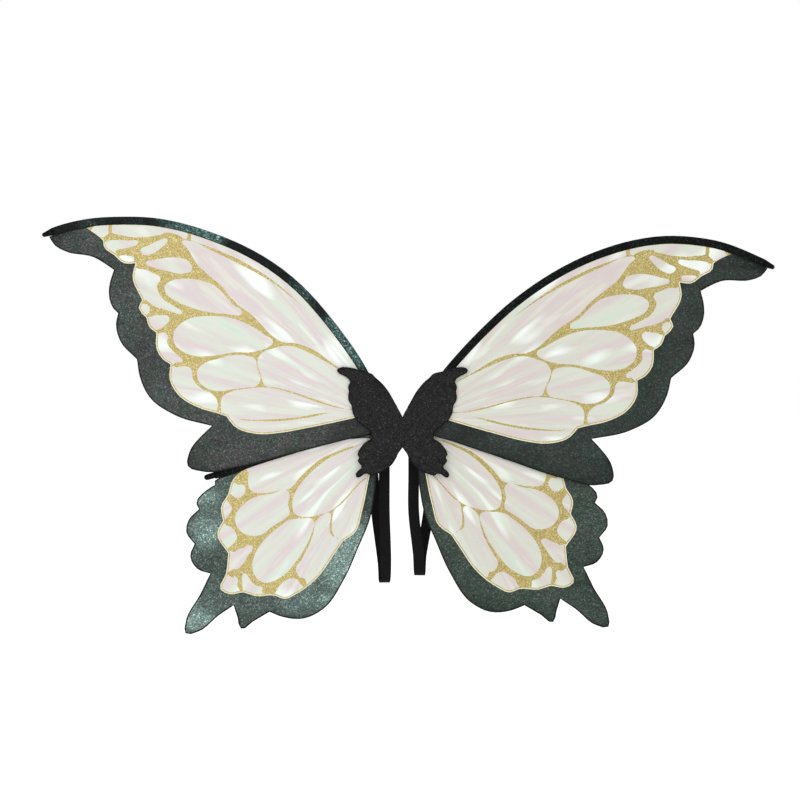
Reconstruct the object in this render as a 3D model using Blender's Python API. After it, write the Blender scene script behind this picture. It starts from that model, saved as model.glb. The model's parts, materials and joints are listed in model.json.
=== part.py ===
"""Wearable fairy wings: four film-and-fabric wing panels on a folding hub with arm loops.

All sizes below are millimetres. The object is stored in metres: +X to the viewer's right,
+Y towards the wearer, +Z up. The origin is the centre of the pad's wearer-side face.
Each wing is drawn once for the right side with x pointing outwards, then placed on both.
"""
import math

import bpy
from mathutils import Matrix, Vector
from mathutils.geometry import tessellate_polygon

MM = 0.001
CORNER = True
SIDES = {"left": -1, "right": 1}

# Outline sampling.
OUTLINE_STEP = 7.0
COVER_STEP = 3.5
ROD_STEP = 15.0
STRAP_STEP = 9.0

# A cutter runs this far past the faces that it cuts.
OVERCUT = 1.0

# Layers along Y, from the wearer's back forwards.
GAP = 0.3
PAD_BACK = 0.0
PAD_FRONT = -5.0
STRAP_BACK = -3.8
STRAP_THICK = 1.2
PLATE_BACK = PAD_FRONT - GAP
PLATE_FRONT = PLATE_BACK - 2.5
LEAF_BACK = PLATE_FRONT - GAP
LEAF_FRONT = LEAF_BACK - 2.0
LOWER_PLANE = -14.0
UPPER_PLANE = -18.65
BORDER_THICK = 1.5
FILM_THICK = 0.3
LUG_THICK = 2.55
COVER_BACK = -22.0
COVER_THICK = 1.6

# Fold hinge behind the waist of the cover: its axis runs along Z.
FOLD_Y = -18.5
KNUCKLE_R = 3.2
KNUCKLE_FOOT = (9.0, (LEAF_BACK + LEAF_FRONT) / 2 - 0.1)
KNUCKLE_FOOT_R = 1.1
KNUCKLE_ROOT_Y = PLATE_BACK - 1.0
PIN_R = 1.3
PIN_CLEARANCE = 0.05
PIN_CHAMFER = 0.3
PIN_OVERHANG = 0.4
SLOT_PITCH = 6.3
SLOT_LENGTH = 6.0
SLOT_COUNT = 6
SLOT_BOTTOM = -18.75

# Hub plates.
PLATE_HALF_W = 54.0
PLATE_HALF_H = 19.0
PLATE_CORNER_R = 9.0
PAD_HALF_W = 36.0
PAD_HALF_H = 17.0
PAD_CORNER_R = 10.0

# The cover's cuts beside its waist, at the back face and at the front face.
WAIST_HALF_W = 4.9
WAIST_FRONT_HALF_W = 3.3
COVER_INNER = 5.3
COVER_FRONT_INNER = 3.7
COVER_REACH = 100.0

# Pivots of the wings on the leaves, as (x, z), and the upper pair's roll at rest.
UPPER_PIVOT = (17.0, 27.0)
LOWER_PIVOT = (22.0, -8.0)
UPPER_ROLL = math.radians(2.1)
SHANK_R = 2.2
LEAF_HOLE_R = 2.25
LUG_HOLE_R = 2.3
EYELET_R = 2.6
SCREW_HEAD_R = 5.0
SCREW_HEAD_CHAMFER = 0.4
SCREW_TAIL = 0.2
LOWER_HEAD_THICK = 1.5
BUSH_R = 4.2
BUSH_CLEARANCE = 0.1
LUG_R = 7.0
LUG_FOOT = 4.0

# Rods, their casings and their sockets.
ROD_R = 2.2
BORE_R = 2.5
SOCKET_R = 3.05
SOCKET_LENGTH = 20.0
SOCKET_FLOOR = 2.0
CASING_HALF_W = 4.75
CASING_HALF_D = 3.0
CASING_START = 1.0
CASING_LEAD = 8.0
SEAM_GAP = 0.5
WINDOW_MARGIN = 7.0
UPPER_CAP_RADII = (4.5, 2.4)
LOWER_CAP_RADII = (3.5, 3.2)
CAP_LENGTH = 14.0
CAP_OVERLAP = 9.0
CAP_ROUND_STEPS = 6

# The x values between which each panel's upper side follows its rod.
UPPER_SPANS = {"border": (31.0, 478.0), "film": (42.0, 432.0), "window": (70.0, 405.0)}
LOWER_SPANS = {"border": (36.0, 244.0), "film": (52.0, 206.0), "window": (62.0, 196.0)}

# The left wing's rod is bowed a little more than the right one's, as (rise, centre, spread).
BOWS = ((6.0, 150.0, 100.0), (4.5, 490.0, 60.0))
# The lower pair sits this far towards the left and down on that side.
LOWER_SHIFT = (7.5, -4.5)
SHIFT_START = 12.0
SHIFT_END = 45.0

# Straps, per side: inner strand x, bottom x and bottom z.
STRAP_WIDTH = 15.0
STRAP_END_Z = -2.0
STRAP_SETS = {"left": (25.0, 25.0, -209.0), "right": (15.5, 24.0, -199.0)}
STRAP_OUTER_X = 44.0
RIVET_R = 1.6
RIVET_HEAD_R = 3.2
RIVET_CROWN_R = 2.56
RIVET_CROWN_H = 0.35
RIVET_HEAD_THICK = 0.9
INNER_RIVET_Z = -9.0
OUTER_RIVET_Z = 8.0

UPPER_ROD = [
    (24, 38), (36.6, 53.5), (66.5, 97), (107, 146), (148, 187.4), (188.5, 218), (229, 241),
    (270, 258), (310, 270), (350.5, 276.6), (391, 276.6), (432, 271.8), (472, 260), (497, 250),
]
UPPER_BORDER_EDGE = [
    (492.5, 246.5, CORNER), (484, 235.5), (470, 229), (430, 224), (409, 213),
    (402, 208.5, CORNER), (407, 190), (408, 178), (401, 156),
    (394, 149.5, CORNER), (396.5, 135.5), (390, 112), (366, 87.5, CORNER),
    (361, 63), (347, 36.5), (311, 13), (260, 0, CORNER),
    (272, -12), (290, -38), (291, -56), (272, -62.5), (220, -54.5), (150, -34), (100, -19),
    (60, -7.5), (46, -4), (36, 4), (26, 16), (19, 19.2), (12, 20.5), (8.8, 27), (12, 33.5),
    (17, 34.2), (24, 33.6), (29.5, 34.2, CORNER),
]
UPPER_FILM_EDGE = [
    (442, 262.5, CORNER), (424, 252), (418.5, 247.5), (417.5, 240), (402.5, 228.5), (388, 218),
    (373, 219, CORNER), (376.5, 202), (362, 168.5, CORNER), (366.5, 158), (355.5, 145, CORNER),
    (351, 132.5), (341, 125, CORNER), (340, 103), (331, 89), (320, 82.5, CORNER), (320.5, 62),
    (309, 42), (281, 25), (251, 17), (241, 14, CORNER), (230.5, 1.5), (200, -8.5), (170, -6.5),
    (130, 2), (62, 19), (44, 24), (37, 30), (36, 38),
]
UPPER_WINDOW_EDGE = [
    (415, 252), (400, 237), (367, 222), (367, 200), (354, 168), (356, 157), (340, 132),
    (331, 108), (312, 82), (308, 52), (280, 32), (238, 21), (222, 5), (195, 0), (140, 8),
    (72, 25), (58, 34),
]
LOWER_ROD = [
    (30, 5.5), (50, 4.2), (100, -6), (150, -21), (200, -37), (230, -48), (259, -56.5),
]
LOWER_BORDER_EDGE = [
    (250, -62), (249.5, -67.5, CORNER), (262, -75.5), (275, -93.5), (271.5, -101, CORNER),
    (286, -116), (289, -132), (277.5, -148.5, CORNER), (283.5, -165), (274, -182.5),
    (256, -189, CORNER), (269, -216), (290, -257), (290, -271), (274, -269), (245, -246.5),
    (224, -232.5, CORNER), (218.5, -250), (214, -264.5), (198, -255), (175, -241.5, CORNER),
    (157, -248.5), (127.5, -250.5), (102.5, -238.5), (72.5, -196.5), (52.5, -151.5),
    (37.5, -114.5), (31, -80), (27, -45), (19, -21), (13.6, -14), (12.8, -6), (17, 0.5),
    (26, 0.5),
]
LOWER_FILM_EDGE = [
    (214, -49), (225, -60), (232, -81, CORNER), (241.5, -98), (238.5, -116.5, CORNER),
    (246.5, -133), (231.5, -161.5, CORNER), (235, -190), (242, -211), (229, -217.5),
    (211, -215), (195, -220), (167, -219.5), (155, -224), (137, -216.5), (107, -192.5),
    (87, -164), (74, -144.5, CORNER), (57, -132), (48, -104), (40, -66), (35, -30), (40, -10),
]
LOWER_WINDOW_EDGE = [
    (205, -57), (217, -66), (223, -84), (231, -102), (231, -118), (237, -134), (223, -160),
    (226, -190), (231, -207), (212, -206), (185, -211), (152, -213), (112, -187), (80, -142),
    (64, -130), (55, -104), (47, -64), (46, -34), (56, -16),
]
# Right half of the cover, from its bottom notch round to its top notch.
COVER_EDGE = [
    (0, -20.5), (4.5, -26.5), (9, -35), (14, -43), (22, -50), (31, -55), (38, -57.5), (43, -59),
    (47.5, -56, CORNER), (52, -56.5), (57, -60), (62.5, -61.5), (64, -57.5), (60.5, -52.5),
    (56.5, -49), (55.8, -45.5, CORNER), (59.5, -41.5), (61, -38.5), (59, -34.5, CORNER),
    (61.5, -30), (60, -25.5), (56, -19.5, CORNER), (53, -15.5), (47.5, -11.5), (42, -8.5, CORNER),
    (44, 1), (52, 8), (61.5, 15.5, CORNER), (65, 20.5), (68, 27), (69, 34), (70, 38, CORNER),
    (73.5, 44), (74, 50), (73, 56, CORNER), (74.3, 62), (71, 69, CORNER), (73.5, 73.5), (80, 78),
    (87.5, 81.5), (89.5, 85), (85, 88.5), (76, 89), (66, 87.5), (55, 83.5), (46, 81.5),
    (41, 79.5), (38, 76), (29, 68), (20, 57), (11, 41.5), (5, 31), (0, 21.5),
]
LEAF_EDGE = [
    (6, -19, CORNER), (6, 19, CORNER), (9.5, 31), (17, 36), (25, 32), (29, 18), (31, 0),
    (32, -12), (27, -20), (16, -21.5),
]


def clamp(value):
    return max(0.0, min(1.0, value))


def ease(value):
    value = clamp(value)
    return value * value * (3 - 2 * value)


def smooth(points, step, closed=True):
    """Samples a curve through the points. A point with a CORNER flag stays sharp."""
    plain = [Vector(p[:2]) for p in points]
    sharp = [len(p) > 2 for p in points]
    count = len(plain)
    spans = count if closed else count - 1
    heading = []
    for i in range(count):
        before = plain[i] - plain[i - 1]
        after = plain[(i + 1) % count] - plain[i]
        if not closed and i == 0:
            before = after
        if not closed and i == count - 1:
            after = before
        mixed = before.normalized() * after.length + after.normalized() * before.length
        heading.append(mixed.normalized())
    result = []
    for i in range(spans):
        j = (i + 1) % count
        chord = plain[j] - plain[i]
        leave = chord if sharp[i] else heading[i] * chord.length
        arrive = chord if sharp[j] else heading[j] * chord.length
        pieces = max(1, round(chord.length / step))
        for k in range(pieces):
            t = k / pieces
            result.append(
                plain[i] * (2 * t**3 - 3 * t**2 + 1)
                + leave * (t**3 - 2 * t**2 + t)
                + plain[j] * (3 * t**2 - 2 * t**3)
                + arrive * (t**3 - t**2)
            )
    if not closed:
        result.append(plain[-1])
    return result


def beside(path, distance):
    """Moves an open path sideways: a positive distance goes to its right-hand side."""
    moved = []
    for i, point in enumerate(path):
        along = path[min(i + 1, len(path) - 1)] - path[max(i - 1, 0)]
        along.normalize()
        moved.append(point + Vector((along.y, -along.x)) * distance)
    return moved


def height_at(path, x):
    """Height of a path that runs outwards, at one distance from the middle."""
    for a, b in zip(path, path[1:]):
        if a.x <= x <= b.x:
            return a.y + (b.y - a.y) * (x - a.x) / (b.x - a.x)
    return path[0].y if x < path[0].x else path[-1].y


UPPER_ROD_PATH = smooth(UPPER_ROD, ROD_STEP, closed=False)
LOWER_ROD_PATH = smooth(LOWER_ROD, ROD_STEP, closed=False)


def upper_shape(point, side):
    """Raises the left wing's leading edge and lowers the right one's."""
    bow = sum(rise * math.exp(-(((point.x - mid) / width) ** 2)) for rise, mid, width in BOWS)
    share = clamp(point.y / height_at(UPPER_ROD_PATH, point.x))
    reach = ease((point.x - UPPER_PIVOT[0] - SHIFT_START) / SHIFT_END)
    return Vector((point.x, point.y - SIDES[side] * bow * share * share * reach))


def lower_shape(point, side):
    """Moves the lower pair sideways without moving its pivots."""
    reach = ((point - Vector(LOWER_PIVOT)).length - SHIFT_START) / (SHIFT_END - SHIFT_START)
    share = -SIDES[side] * ease(reach)
    return point + Vector(LOWER_SHIFT) * share


def rod_edge(path, first_x, last_x, distance):
    """The part of a rod's lower side between two x values, at one distance from its centre."""
    return [p for p in beside(path, distance) if first_x <= p.x <= last_x]


def circle(x, z, radius, count=24):
    turns = [2 * math.pi * i / count for i in range(count)]
    return [Vector((x + radius * math.cos(a), z + radius * math.sin(a))) for a in turns]


def teardrop(a, radius_a, b, radius_b, count=24):
    """Outline round two circles of different size."""
    a = Vector(a)
    b = Vector(b)
    facing = math.atan2(b.y - a.y, b.x - a.x)
    lean = math.acos((radius_a - radius_b) / (b - a).length)
    outline = []
    for i in range(count + 1):
        turn = facing + lean + (2 * math.pi - 2 * lean) * i / count
        outline.append(a + radius_a * Vector((math.cos(turn), math.sin(turn))))
    for i in range(count // 2 + 1):
        turn = facing - lean + 2 * lean * i / (count // 2)
        outline.append(b + radius_b * Vector((math.cos(turn), math.sin(turn))))
    return outline


def rounded_box(half_w, half_h, radius, count=6):
    outline = []
    for quarter in range(4):
        across = half_w - radius if quarter in (0, 3) else radius - half_w
        up = half_h - radius if quarter in (0, 1) else radius - half_h
        for i in range(count + 1):
            turn = math.pi / 2 * (quarter + i / count)
            outline.append(Vector((across + radius * math.cos(turn), up + radius * math.sin(turn))))
    return outline


def flip(outline, side):
    return [Vector((p.x * SIDES[side], p.y)) for p in outline]


def make(name, verts, faces):
    """Makes an object from vertices in millimetres, with outward faces and its own material."""
    mesh = bpy.data.meshes.new(name)
    mesh.from_pydata([Vector(v) * MM for v in verts], [], faces)
    mesh.validate()
    obj = bpy.data.objects.new(name, mesh)
    bpy.context.collection.objects.link(obj)
    point_outwards(obj)
    return obj


def point_outwards(obj):
    bpy.context.view_layer.objects.active = obj
    obj.select_set(True)
    bpy.ops.object.mode_set(mode="EDIT")
    bpy.ops.mesh.select_all(action="SELECT")
    bpy.ops.mesh.normals_make_consistent(inside=False)
    bpy.ops.object.mode_set(mode="OBJECT")
    obj.select_set(False)


def slab(name, outline, start, end, holes=(), upright=False):
    """Extrudes an outline with holes: along Y by default, or along Z when upright."""
    loops = [outline] + list(holes)
    flat = [p for loop in loops for p in loop]
    triangles = tessellate_polygon([[Vector((p.x, p.y, 0)) for p in loop] for loop in loops])

    def place(p, level):
        return (p.x, p.y, level) if upright else (p.x, level, p.y)

    verts = [place(p, start) for p in flat] + [place(p, end) for p in flat]
    size = len(flat)
    faces = [tuple(t) for t in triangles] + [tuple(i + size for i in t) for t in triangles]
    first = 0
    for loop in loops:
        count = len(loop)
        for i in range(count):
            a = first + i
            b = first + (i + 1) % count
            faces.append((a, b, b + size, a + size))
        first += count
    return make(name, verts, faces)


def turned(name, profile, origin, direction, closed=False, count=24):
    """Spins a profile of (distance, radius) pairs about a line; open ends lie on the line."""
    axis = Vector(direction).normalized()
    helper = Vector((0, 0, 1)) if abs(axis.z) < 0.9 else Vector((1, 0, 0))
    across = axis.cross(helper).normalized()
    other = axis.cross(across)
    start = Vector(origin)
    rings = []
    verts = []
    for distance, radius in profile:
        on_axis = radius == 0
        ring = []
        for i in range(1 if on_axis else count):
            turn = 2 * math.pi * i / count
            out = across * math.cos(turn) + other * math.sin(turn)
            ring.append(len(verts))
            verts.append(start + axis * distance + out * radius)
        rings.append(ring)
    pairs = list(zip(rings, rings[1:]))
    if closed:
        pairs.append((rings[-1], rings[0]))
    faces = []
    for low, high in pairs:
        for i in range(count):
            j = (i + 1) % count
            corners = [low[i % len(low)], low[j % len(low)], high[j % len(high)], high[i % len(high)]]
            unique = list(dict.fromkeys(corners))
            if len(unique) > 2:
                faces.append(tuple(unique))
    return make(name, verts, faces)


def swept(name, path, level, sections):
    """Sweeps one or two ellipse sections along a path in the XZ plane at one Y level.

    Each section is (half width in the plane, half depth, point count). Two sections make a tube.
    """
    verts = []
    loops = []
    for half_w, half_d, count in sections:
        loop = []
        for i, point in enumerate(path):
            along = path[min(i + 1, len(path) - 1)] - path[max(i - 1, 0)]
            along.normalize()
            side = Vector((-along.y, along.x))
            ring = []
            for k in range(count):
                turn = 2 * math.pi * k / count
                flat = point + side * half_w * math.cos(turn)
                ring.append(len(verts))
                verts.append((flat.x, level + half_d * math.sin(turn), flat.y))
            loop.append(ring)
        loops.append(loop)
    faces = []
    for loop in loops:
        for low, high in zip(loop, loop[1:]):
            for k in range(len(low)):
                j = (k + 1) % len(low)
                faces.append((low[k], low[j], high[j], high[k]))
    for end in (0, -1):
        if len(loops) == 1:
            faces.append(tuple(loops[0][end]))
            continue
        outer = loops[0][end]
        inner = loops[1][end]
        for k in range(len(outer)):
            j = (k + 1) % len(outer)
            faces.append((outer[k], outer[j], inner[j], inner[k]))
    return make(name, verts, faces)


def combine(target, tool, operation):
    """Applies a boolean between two objects and deletes the tool."""
    modifier = target.modifiers.new("combine", "BOOLEAN")
    modifier.operation = operation
    modifier.solver = "EXACT"
    modifier.object = tool
    bpy.context.view_layer.update()
    graph = bpy.context.evaluated_depsgraph_get()
    result = bpy.data.meshes.new_from_object(target.evaluated_get(graph))
    target.modifiers.clear()
    target.data = result
    bpy.data.objects.remove(tool)
    return target


def bar(name, start, end, radius, level, count=20):
    """A solid round bar between two points of the XZ plane at one Y level."""
    a = Vector((start[0], level, start[1]))
    b = Vector((end[0], level, end[1]))
    length = (b - a).length
    profile = [(0, 0), (0, radius), (length, radius), (length, 0)]
    return turned(name, profile, a, b - a, count=count)


def drill(target, x, z, radius, start, end):
    hole = turned("drill", [(0, 0), (0, radius), (start - end, radius), (start - end, 0)],
                  (x, start, z), (0, -1, 0))
    return combine(target, hole, "DIFFERENCE")


def knuckle(slot, sign):
    """A hinge lug in one slot: a teardrop round the pin, tapering back to the root plate."""
    low = SLOT_BOTTOM + SLOT_PITCH * slot
    outline = teardrop((0, FOLD_Y), KNUCKLE_R, KNUCKLE_FOOT, KNUCKLE_FOOT_R)
    hole = circle(0, FOLD_Y, PIN_R + PIN_CLEARANCE)
    outline = [Vector((p.x * sign, p.y)) for p in outline]
    return slab("knuckle", outline, low, low + SLOT_LENGTH, [hole], upright=True)


def fixed_knuckle(slot):
    """A straight hinge lug standing out of the back plate."""
    low = SLOT_BOTTOM + SLOT_PITCH * slot
    arc = [math.pi * (1 + i / 16) for i in range(17)]
    outline = [Vector((KNUCKLE_R * math.cos(a), FOLD_Y + KNUCKLE_R * math.sin(a))) for a in arc]
    outline += [Vector((KNUCKLE_R, KNUCKLE_ROOT_Y)), Vector((-KNUCKLE_R, KNUCKLE_ROOT_Y))]
    hole = circle(0, FOLD_Y, PIN_R + PIN_CLEARANCE)
    return slab("knuckle", outline, low, low + SLOT_LENGTH, [hole], upright=True)


def strap_path(side):
    """Centre line of one arm loop, from the inner rivet down and up to the outer rivet."""
    inner, bottom, low = STRAP_SETS[side]
    flat = STRAP_BACK - STRAP_THICK / 2
    outer = STRAP_OUTER_X
    knots = [
        (inner, flat, STRAP_END_Z), (inner, flat, -18), (inner, flat + 1, -60), (inner, flat + 5, -110),
        (bottom - 2, flat + 13, low + 30), (bottom, flat + 26, low + STRAP_THICK / 2),
        (bottom + 2, flat + 40, low + 26), (outer - 8, flat + 50, -115), (outer - 3, flat + 40, -62),
        (outer, flat + 15, -24), (outer, flat, STRAP_END_Z), (outer, flat, 15),
    ]
    knots = [Vector(k) for k in knots]
    path = []
    for i in range(len(knots) - 1):
        before = knots[max(i - 1, 0)]
        a = knots[i]
        b = knots[i + 1]
        after = knots[min(i + 2, len(knots) - 1)]
        leave = (b - before).normalized() * (b - a).length if i else b - a
        arrive = (after - a).normalized() * (b - a).length if i < len(knots) - 2 else b - a
        straight = i in (0, len(knots) - 2)
        pieces = 1 if straight else max(2, round((b - a).length / STRAP_STEP))
        for k in range(pieces):
            t = k / pieces
            path.append(
                a * (2 * t**3 - 3 * t**2 + 1)
                + leave * (t**3 - 2 * t**2 + t)
                + b * (3 * t**2 - 2 * t**3)
                + arrive * (t**3 - t**2)
            )
    path.append(knots[-1])
    return [Vector((p.x * SIDES[side], p.y, p.z)) for p in path]


def make_strap(side):
    """A flat elastic band along its path, with a rivet hole near each end."""
    path = strap_path(side)
    verts = []
    for i, point in enumerate(path):
        along = (path[min(i + 1, len(path) - 1)] - path[max(i - 1, 0)]).normalized()
        if i in (0, 1, len(path) - 1, len(path) - 2):
            along = Vector((0, 0, 1 if i > 1 else -1))
        wide = Vector((1, 0, 0)) - along * along.x
        wide.normalize()
        thick = along.cross(wide)
        for across, through in ((-1, -1), (1, -1), (1, 1), (-1, 1)):
            shift = wide * across * STRAP_WIDTH / 2 + thick * through * STRAP_THICK / 2
            verts.append(point + shift)
    faces = [(0, 1, 2, 3), tuple(len(verts) - 4 + k for k in range(4))]
    for i in range(len(path) - 1):
        for k in range(4):
            j = (k + 1) % 4
            faces.append((4 * i + k, 4 * i + j, 4 * i + 4 + j, 4 * i + 4 + k))
    strap = make("strap_" + side, verts, faces)
    for x, z in rivet_places(side):
        drill(strap, x, z, RIVET_R + GAP, PAD_BACK, PLATE_BACK)
    return strap


def rivet_places(side):
    inner = STRAP_SETS[side][0] * SIDES[side]
    outer = STRAP_OUTER_X * SIDES[side]
    return [(inner, INNER_RIVET_Z), (outer, OUTER_RIVET_Z)]


def make_spine():
    """The back plate and pad, the straps with their rivets, the fold pin and the waist."""
    pieces = []
    outline = rounded_box(PLATE_HALF_W, PLATE_HALF_H, PLATE_CORNER_R)
    plate = slab("back_plate", outline, PLATE_BACK, PLATE_FRONT)
    for slot in (0, SLOT_COUNT - 1):
        combine(plate, fixed_knuckle(slot), "UNION")
    pad = slab("back_pad", rounded_box(PAD_HALF_W, PAD_HALF_H, PAD_CORNER_R), PAD_BACK, PAD_FRONT)
    head_front = STRAP_BACK + GAP
    head_back = head_front + RIVET_HEAD_THICK
    for side in SIDES:
        inner = STRAP_SETS[side][0] * SIDES[side]
        half = STRAP_WIDTH / 2 + GAP
        low = -PAD_HALF_H - OVERCUT
        high = STRAP_END_Z + GAP
        box = [
            Vector((inner - half, low)), Vector((inner + half, low)),
            Vector((inner + half, high)), Vector((inner - half, high)),
        ]
        pocket = slab("pocket", box, head_front, PAD_FRONT - OVERCUT)
        combine(pad, pocket, "DIFFERENCE")
        drill(pad, inner, INNER_RIVET_Z, RIVET_HEAD_R + GAP, head_back + GAP, PAD_FRONT - OVERCUT)
        for label, (x, z) in zip(("inner", "outer"), rivet_places(side)):
            drill(plate, x, z, RIVET_R + PIN_CLEARANCE, PLATE_BACK + OVERCUT, PLATE_FRONT - OVERCUT)
            profile = [
                (0, 0), (0, RIVET_CROWN_R), (RIVET_CROWN_H, RIVET_HEAD_R),
                (RIVET_HEAD_THICK, RIVET_HEAD_R), (RIVET_HEAD_THICK, RIVET_R),
                (head_back - PLATE_FRONT, RIVET_R), (head_back - PLATE_FRONT, 0),
            ]
            rivet = turned("rivet_%s_%s" % (label, side), profile, (x, head_back, z), (0, -1, 0))
            pieces.append(rivet)
        pieces.append(make_strap(side))
    top = SLOT_BOTTOM + SLOT_PITCH * (SLOT_COUNT - 1) + SLOT_LENGTH + PIN_OVERHANG
    profile = [
        (0, 0), (0, PIN_R - PIN_CHAMFER), (PIN_CHAMFER, PIN_R), (2 * top - PIN_CHAMFER, PIN_R),
        (2 * top, PIN_R - PIN_CHAMFER), (2 * top, 0),
    ]
    pin = turned("fold_pin", profile, (0, FOLD_Y, -top), (0, 0, 1))
    half = cover_outline(0.0, WAIST_HALF_W)
    mirror = [Vector((-p.x, p.y)) for p in reversed(half)]
    waist = slab("cover_waist", half + mirror[1:-1], COVER_BACK, COVER_BACK - COVER_THICK)
    bevel(waist, lambda x: x * WAIST_FRONT_HALF_W / WAIST_HALF_W)
    return pieces + [plate, pad, pin, waist]


def cover_edge():
    """The sampled edge of the cover's right half, from its bottom notch to its top notch."""
    return smooth(COVER_EDGE, COVER_STEP, closed=False)


def cover_outline(low_x, high_x):
    """The part of the cover's right half between two x values, closed by straight cuts."""
    edge = cover_edge()
    kept = []
    for a, b in zip(edge, edge[1:]):
        if low_x <= a.x <= high_x:
            kept.append(a)
        for cut in (low_x, high_x):
            if (a.x - cut) * (b.x - cut) < 0:
                kept.append(a + (b - a) * (cut - a.x) / (b.x - a.x))
    if low_x <= edge[-1].x <= high_x:
        kept.append(edge[-1])
    return kept


def cover_height(x, top):
    """Height of the cover's upper or lower edge near its waist."""
    near = [p for p in cover_edge() if p.x < 2 * COVER_INNER and (p.y > 0) == top]
    return height_at(sorted(near, key=lambda p: p.x), x)


def bevel(cover, move):
    """Moves the front corners of a cover piece along its edge, by a rule for their x."""
    for vertex in cover.data.vertices:
        x, y, z = vertex.co / MM
        if y < COVER_BACK - COVER_THICK / 2 and abs(x) < COVER_INNER + 0.01:
            moved = move(x)
            change = cover_height(abs(moved), z > 0) - cover_height(abs(x), z > 0)
            vertex.co = Vector((moved, y, z + change)) * MM


def make_leaf(side):
    """The root plate of one side with its two hinge knuckles, screws, bush and cover half."""
    sign = SIDES[side]
    outline = flip(smooth(LEAF_EDGE, COVER_STEP), side)
    holes = [circle(x * sign, z, LEAF_HOLE_R) for x, z in (UPPER_PIVOT, LOWER_PIVOT)]
    leaf = slab("root_plate_" + side, outline, LEAF_BACK, LEAF_FRONT, holes)
    slots = (1, 3) if side == "left" else (2, 4)
    for slot in slots:
        combine(leaf, knuckle(slot, sign), "UNION")
    outline = flip(cover_outline(COVER_INNER, COVER_REACH), side)
    cover = slab("cover_" + side, outline, COVER_BACK, COVER_BACK - COVER_THICK)
    bevel(cover, lambda x: COVER_FRONT_INNER * sign)
    screw_back = LEAF_BACK - SCREW_TAIL
    length = screw_back - (COVER_BACK + GAP)
    upper_head = screw_back - (UPPER_PLANE - BORDER_THICK / 2 - GAP)
    lower_head = screw_back - (LOWER_PLANE - BORDER_THICK / 2 - GAP)
    upper_screw = turned("upper_pivot_screw_" + side, [
        (0, 0), (0, SHANK_R), (upper_head, SHANK_R), (upper_head, SCREW_HEAD_R),
        (length - SCREW_HEAD_CHAMFER, SCREW_HEAD_R), (length, SCREW_HEAD_R - SCREW_HEAD_CHAMFER),
        (length, 0),
    ], (UPPER_PIVOT[0] * sign, screw_back, UPPER_PIVOT[1]), (0, -1, 0))
    lower_screw = turned("lower_pivot_screw_" + side, [
        (0, 0), (0, SHANK_R), (lower_head, SHANK_R), (lower_head, SCREW_HEAD_R),
        (lower_head + LOWER_HEAD_THICK, SCREW_HEAD_R), (lower_head + LOWER_HEAD_THICK, SHANK_R),
        (length, SHANK_R), (length, 0),
    ], (LOWER_PIVOT[0] * sign, screw_back, LOWER_PIVOT[1]), (0, -1, 0))
    bush_front = UPPER_PLANE + BORDER_THICK / 2 + GAP + LUG_THICK + GAP
    bush_length = LEAF_FRONT - GAP - bush_front
    bore_r = SHANK_R + BUSH_CLEARANCE
    bush = turned("pivot_bush_" + side, [
        (0, bore_r), (0, BUSH_R), (bush_length, BUSH_R), (bush_length, bore_r),
    ], (UPPER_PIVOT[0] * sign, LEAF_FRONT - GAP, UPPER_PIVOT[1]), (0, -1, 0), closed=True)
    return [leaf, cover, upper_screw, lower_screw, bush]


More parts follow.
